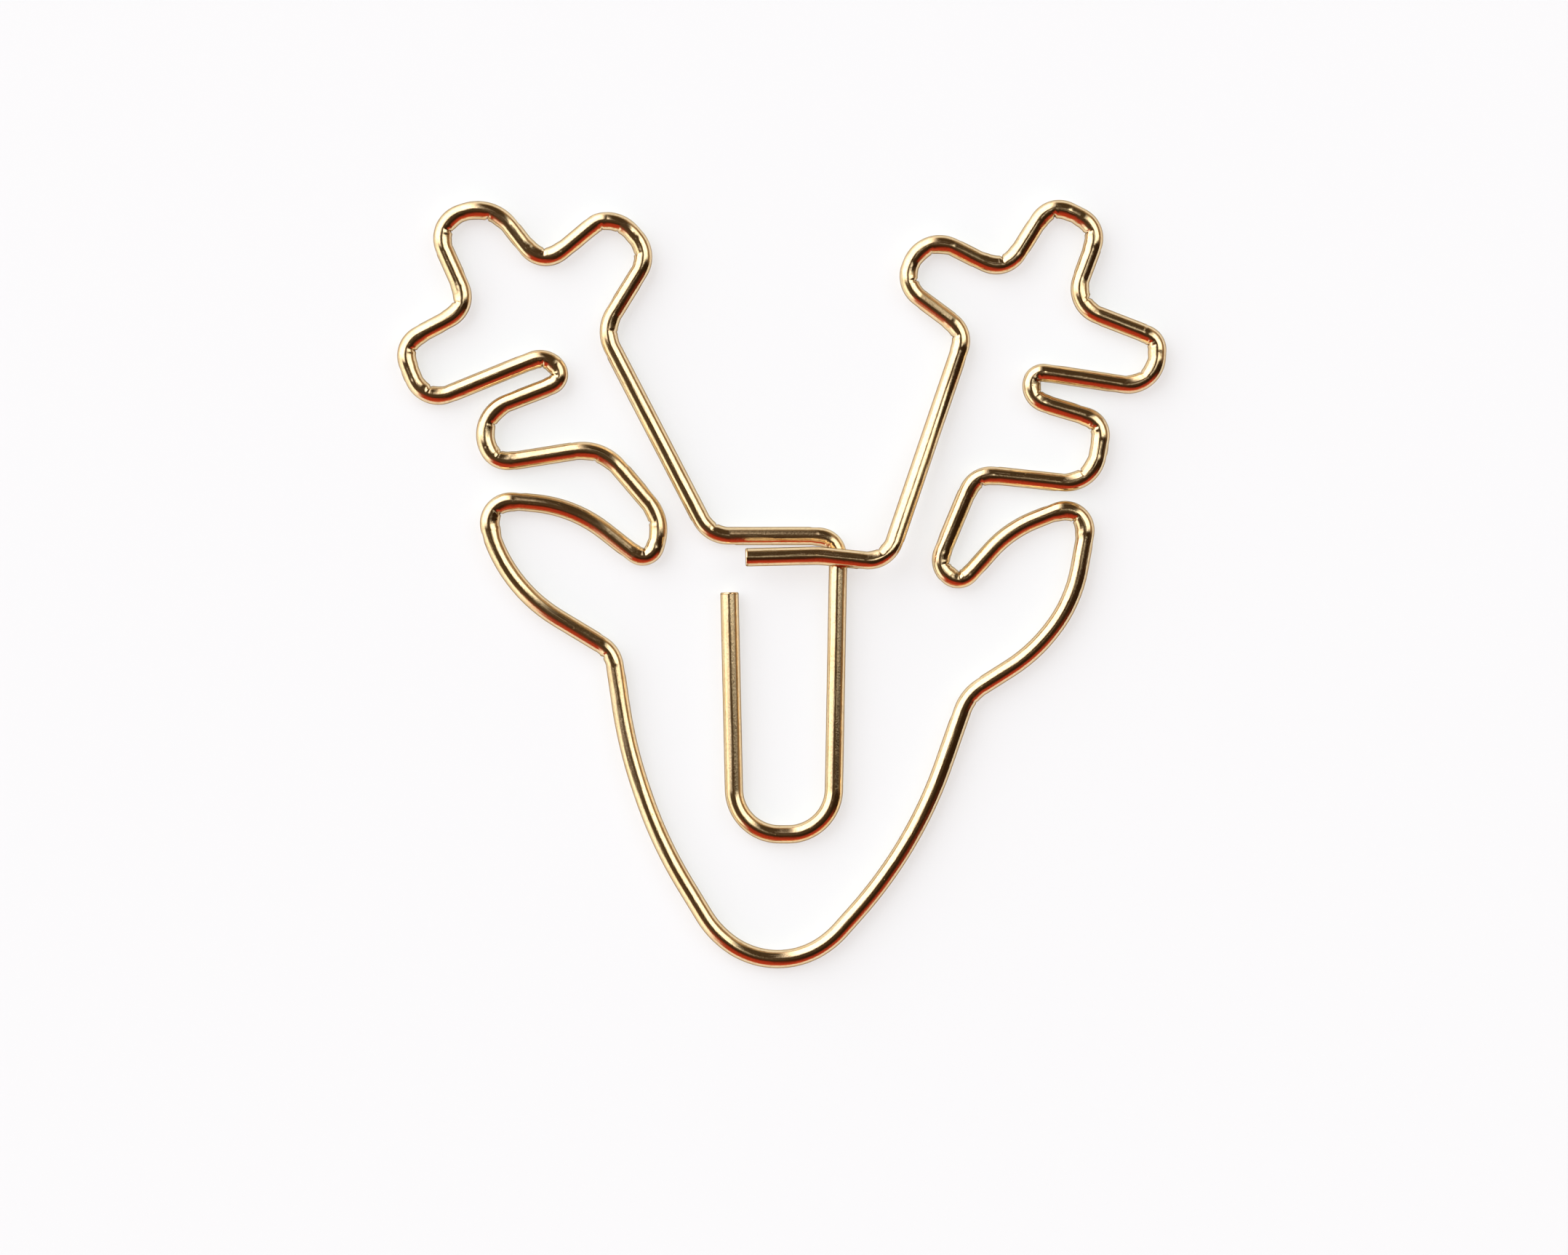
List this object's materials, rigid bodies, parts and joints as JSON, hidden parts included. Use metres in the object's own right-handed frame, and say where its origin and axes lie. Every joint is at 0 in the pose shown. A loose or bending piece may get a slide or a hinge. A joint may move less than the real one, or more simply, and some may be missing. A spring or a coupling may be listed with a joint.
{
  "type": "novelty paper clip",
  "caption": "Novelty paper clip bent from round gold-tone wire into the outline of a reindeer's head; sheets are gripped between its front end and the tongue behind it.",
  "frame": {"origin": "middle of the clip's outline, on the table that its back rests on", "axes": "+Z out of the front of the lying clip, +Y from the chin to the antlers' tips, +X to the right ear as the front is seen"},
  "size_m": [0.0424, 0.0422, 0.0025],
  "materials": {
    "gold_plated_wire": "polished gold plating over steel wire"
  },
  "bodies": {
    "head": {"face": "gold_plated_wire", "left_ear": "gold_plated_wire", "left_antler": "gold_plated_wire", "right_ear": "gold_plated_wire", "right_antler": "gold_plated_wire"},
    "tongue_leg": {"left_stem": "gold_plated_wire", "tongue": "gold_plated_wire"},
    "front_leg": {"right_stem": "gold_plated_wire", "front_end": "gold_plated_wire"}
  },
  "joints": [
    {"name": "tongue_spring", "type": "hinge", "parent": "head", "child": "tongue_leg", "pos_m": [-0.0089, 0.01213, 0.0005], "axis": [0.8881, 0.4597, 0], "range_deg": [0, 8], "stiffness_Nm_per_rad": 0.01},
    {"name": "front_end_spring", "type": "hinge", "parent": "head", "child": "front_leg", "pos_m": [0.0095, 0.01204, 0.0005], "axis": [-0.946, 0.324, 0], "range_deg": [0, 8], "stiffness_Nm_per_rad": 0.01}
  ]
}
